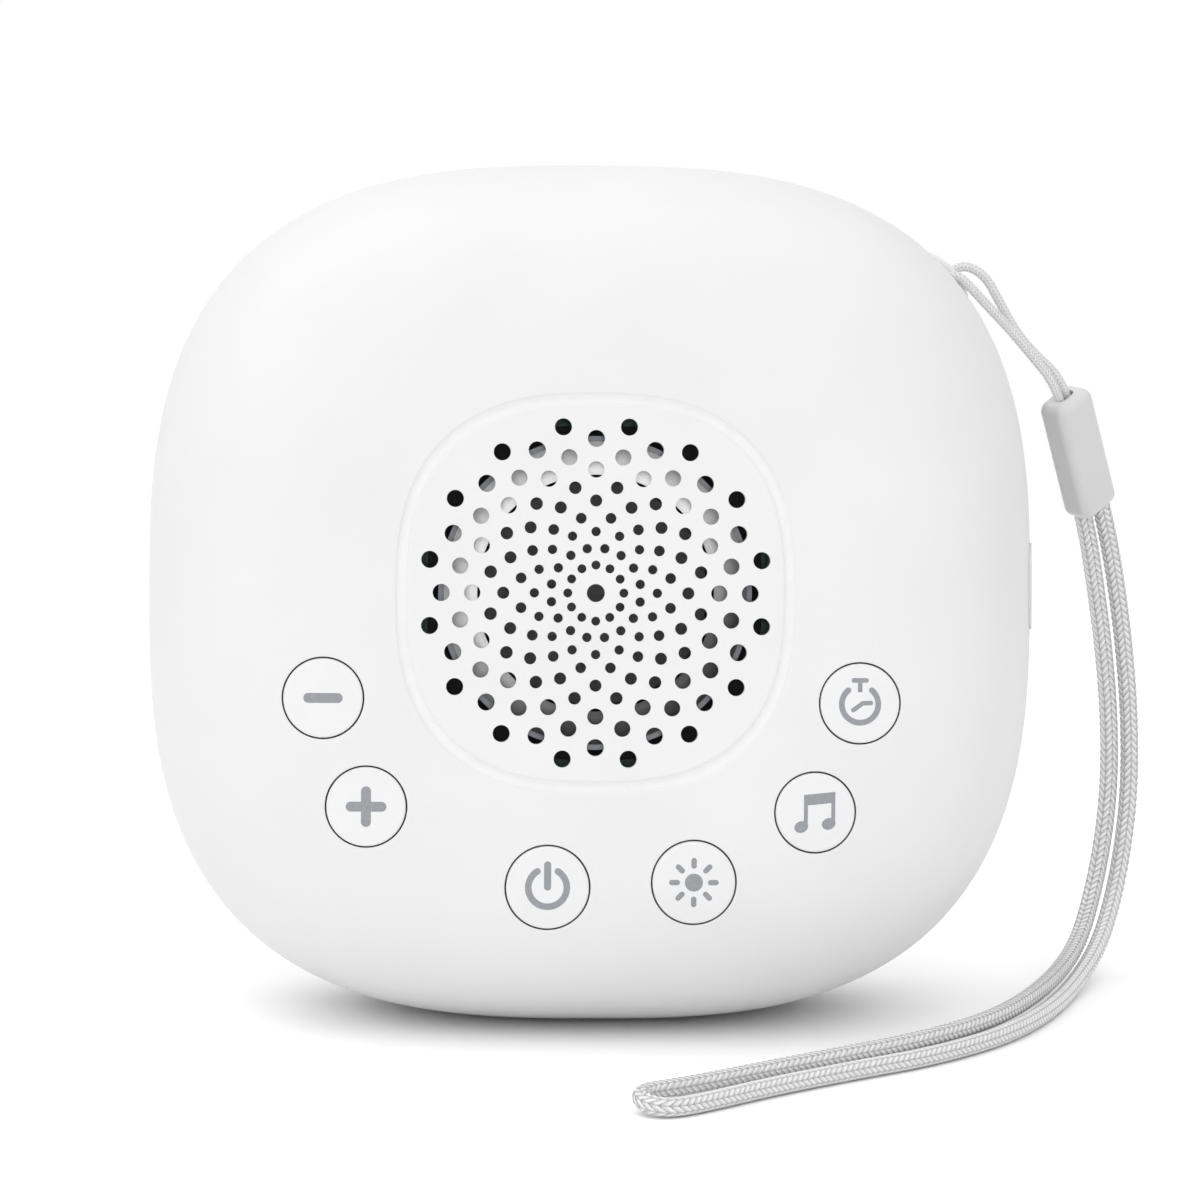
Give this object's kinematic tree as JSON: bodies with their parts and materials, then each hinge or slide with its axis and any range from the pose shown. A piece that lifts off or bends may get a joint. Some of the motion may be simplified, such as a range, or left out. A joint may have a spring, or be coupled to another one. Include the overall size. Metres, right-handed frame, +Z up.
{
  "type": "white noise sound machine",
  "caption": "Portable leaning sound machine with a round-cornered white case, a perforated speaker panel, round push buttons, a side charging port and a braided wrist strap.",
  "frame": {"origin": "middle of the foot pad's underside, on the surface that the machine stands on", "axes": "+X to the right of someone who looks at the face, +Y from the face to the back, +Z up; the case leans back by 9 degrees about X"},
  "size_m": [0.1156, 0.088, 0.0963],
  "materials": {
    "shell": "fine satin texture",
    "grille": "satin",
    "diffuser": "milky",
    "icon": "matt",
    "silicone": "matt",
    "foot": "matt",
    "circuit_board": "satin",
    "component": "matt",
    "capacitor": "brushed",
    "connector": "matt",
    "light_diode": "clear",
    "white_card": "matt",
    "frame_steel": "satin",
    "black_rubber": "matt",
    "paper_cone": "matt",
    "coil_copper": "lacquered",
    "spider_cloth": "matt",
    "ferrite": "matt",
    "clamp_plastic": "matt",
    "pouch": "foil",
    "foam": "open cell",
    "lead_red": "satin",
    "lead_black": "satin",
    "screw_steel": "plated",
    "socket_steel": "bright",
    "braid": "satin braid",
    "bead": "satin"
  },
  "bodies": {
    "case": {"front_shell": "shell", "rear_shell": "shell", "foot_pad": "foot", "speaker_grille": "grille", "night_light_ring": "diffuser", "light_board": "circuit_board", "light_diodes": "light_diode", "speaker_gasket": "white_card", "speaker_basket": "frame_steel", "speaker_terminals": "connector", "speaker_surround": "black_rubber", "speaker_spider": "spider_cloth", "speaker_top_plate": "frame_steel", "speaker_magnet": "ferrite", "speaker_yoke": "frame_steel", "speaker_retainer": "clamp_plastic", "main_board": "circuit_board", "tact_switches": "component", "switch_domes": "socket_steel", "board_chips": "component", "board_capacitors": "capacitor", "board_inductor": "ferrite", "board_connectors": "connector", "battery_cell": "pouch", "battery_protection": "circuit_board", "battery_foam": "foam", "battery_bracket": "clamp_plastic", "battery_lead_red": "lead_red", "battery_lead_black": "lead_black", "speaker_leads": "lead_black", "usb_socket": "socket_steel", "usb_tongue": "component", "usb_cover_tether": "silicone", "case_screws": "screw_steel", "small_screws": "screw_steel", "strap_bead": "bead", "strap_thin_cord": "braid", "strap_loop_cord": "braid"},
    "minus_button": {"minus_cap": "shell", "minus_icon": "icon", "minus_plunger": "component"},
    "plus_button": {"plus_cap": "shell", "plus_icon": "icon", "plus_plunger": "component"},
    "power_button": {"power_cap": "shell", "power_icon": "icon", "power_plunger": "component"},
    "light_button": {"light_cap": "shell", "light_icon": "icon", "light_plunger": "component"},
    "music_button": {"music_cap": "shell", "music_icon": "icon", "music_plunger": "component"},
    "timer_button": {"timer_cap": "shell", "timer_icon": "icon", "timer_plunger": "component"},
    "speaker_diaphragm": {"speaker_cone": "paper_cone", "dust_cap": "paper_cone", "voice_coil": "coil_copper"},
    "port_cover": {"usb_cover": "silicone"}
  },
  "joints": [
    {"name": "minus_press", "type": "slide", "parent": "case", "child": "minus_button", "axis": [0, 0.9877, -0.1564], "range_m": [0, 0.0005], "stiffness_N_per_m": 1500},
    {"name": "plus_press", "type": "slide", "parent": "case", "child": "plus_button", "axis": [0, 0.9877, -0.1564], "range_m": [0, 0.0005], "stiffness_N_per_m": 1500},
    {"name": "power_press", "type": "slide", "parent": "case", "child": "power_button", "axis": [0, 0.9877, -0.1564], "range_m": [0, 0.0005], "stiffness_N_per_m": 1500},
    {"name": "light_press", "type": "slide", "parent": "case", "child": "light_button", "axis": [0, 0.9877, -0.1564], "range_m": [0, 0.0005], "stiffness_N_per_m": 1500},
    {"name": "music_press", "type": "slide", "parent": "case", "child": "music_button", "axis": [0, 0.9877, -0.1564], "range_m": [0, 0.0005], "stiffness_N_per_m": 1500},
    {"name": "timer_press", "type": "slide", "parent": "case", "child": "timer_button", "axis": [0, 0.9877, -0.1564], "range_m": [0, 0.0005], "stiffness_N_per_m": 1500},
    {"name": "cone_travel", "type": "slide", "parent": "case", "child": "speaker_diaphragm", "axis": [0, 0.9877, -0.1564], "range_m": [-0.0004, 0.0004], "stiffness_N_per_m": 2000},
    {"name": "cover_flap", "type": "hinge", "parent": "case", "child": "port_cover", "pos_m": [0.04935, -0.00182, 0.04902], "axis": [0, 0.1564, 0.9877], "range_deg": [0, 100]}
  ]
}
